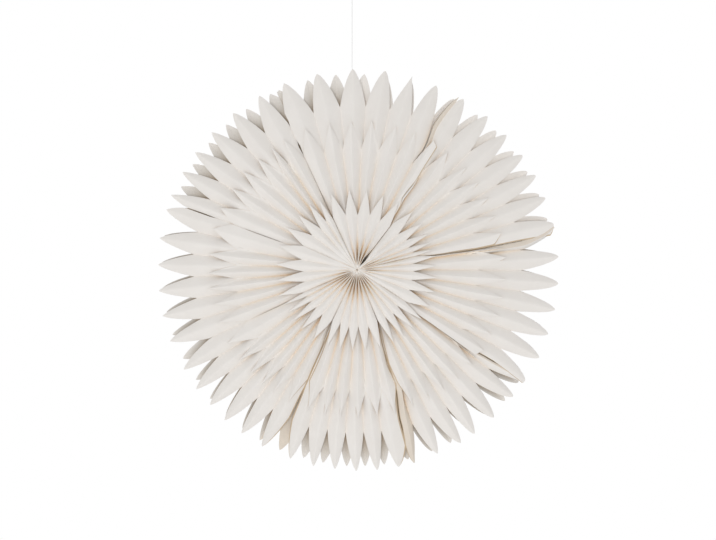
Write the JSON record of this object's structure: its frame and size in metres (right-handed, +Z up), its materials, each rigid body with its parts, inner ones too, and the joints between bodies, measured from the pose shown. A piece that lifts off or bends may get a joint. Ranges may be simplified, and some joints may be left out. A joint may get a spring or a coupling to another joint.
{
  "type": "layered paper star",
  "caption": "Double-sided hanging star of layered pleated paper fans with petal-cut edges, on a thin thread with a loop.",
  "frame": {"origin": "centre of the star, in the plane between its two faces", "axes": "+Z up along the thread as the star hangs, -Y out of the front face, +X to the right of someone who looks at the front"},
  "size_m": [0.4995, 0.0482, 0.6224],
  "materials": {
    "paper": "matte",
    "thread": "satin"
  },
  "bodies": {
    "root": {"front_outer_fan_1": "paper", "front_outer_fan_2": "paper", "front_outer_fan_3": "paper", "front_outer_fan_4": "paper", "front_outer_fan_5": "paper", "front_outer_fan_6": "paper", "front_outer_fan_7": "paper", "front_outer_fan_8": "paper", "front_middle_fan_1": "paper", "front_middle_fan_2": "paper", "front_middle_fan_3": "paper", "front_middle_fan_4": "paper", "front_middle_fan_5": "paper", "front_middle_fan_6": "paper", "front_middle_fan_7": "paper", "front_middle_fan_8": "paper", "front_inner_fan_1": "paper", "front_inner_fan_2": "paper", "front_inner_fan_3": "paper", "front_inner_fan_4": "paper", "front_inner_fan_5": "paper", "front_inner_fan_6": "paper", "front_inner_fan_7": "paper", "front_inner_fan_8": "paper", "rear_outer_fan_1": "paper", "rear_outer_fan_2": "paper", "rear_outer_fan_3": "paper", "rear_outer_fan_4": "paper", "rear_outer_fan_5": "paper", "rear_outer_fan_6": "paper", "rear_outer_fan_7": "paper", "rear_outer_fan_8": "paper", "rear_middle_fan_1": "paper", "rear_middle_fan_2": "paper", "rear_middle_fan_3": "paper", "rear_middle_fan_4": "paper", "rear_middle_fan_5": "paper", "rear_middle_fan_6": "paper", "rear_middle_fan_7": "paper", "rear_middle_fan_8": "paper", "rear_inner_fan_1": "paper", "rear_inner_fan_2": "paper", "rear_inner_fan_3": "paper", "rear_inner_fan_4": "paper", "rear_inner_fan_5": "paper", "rear_inner_fan_6": "paper", "rear_inner_fan_7": "paper", "rear_inner_fan_8": "paper", "hanging_thread": "thread", "thread_knot": "thread", "thread_loop": "thread"}
  },
  "joints": []
}
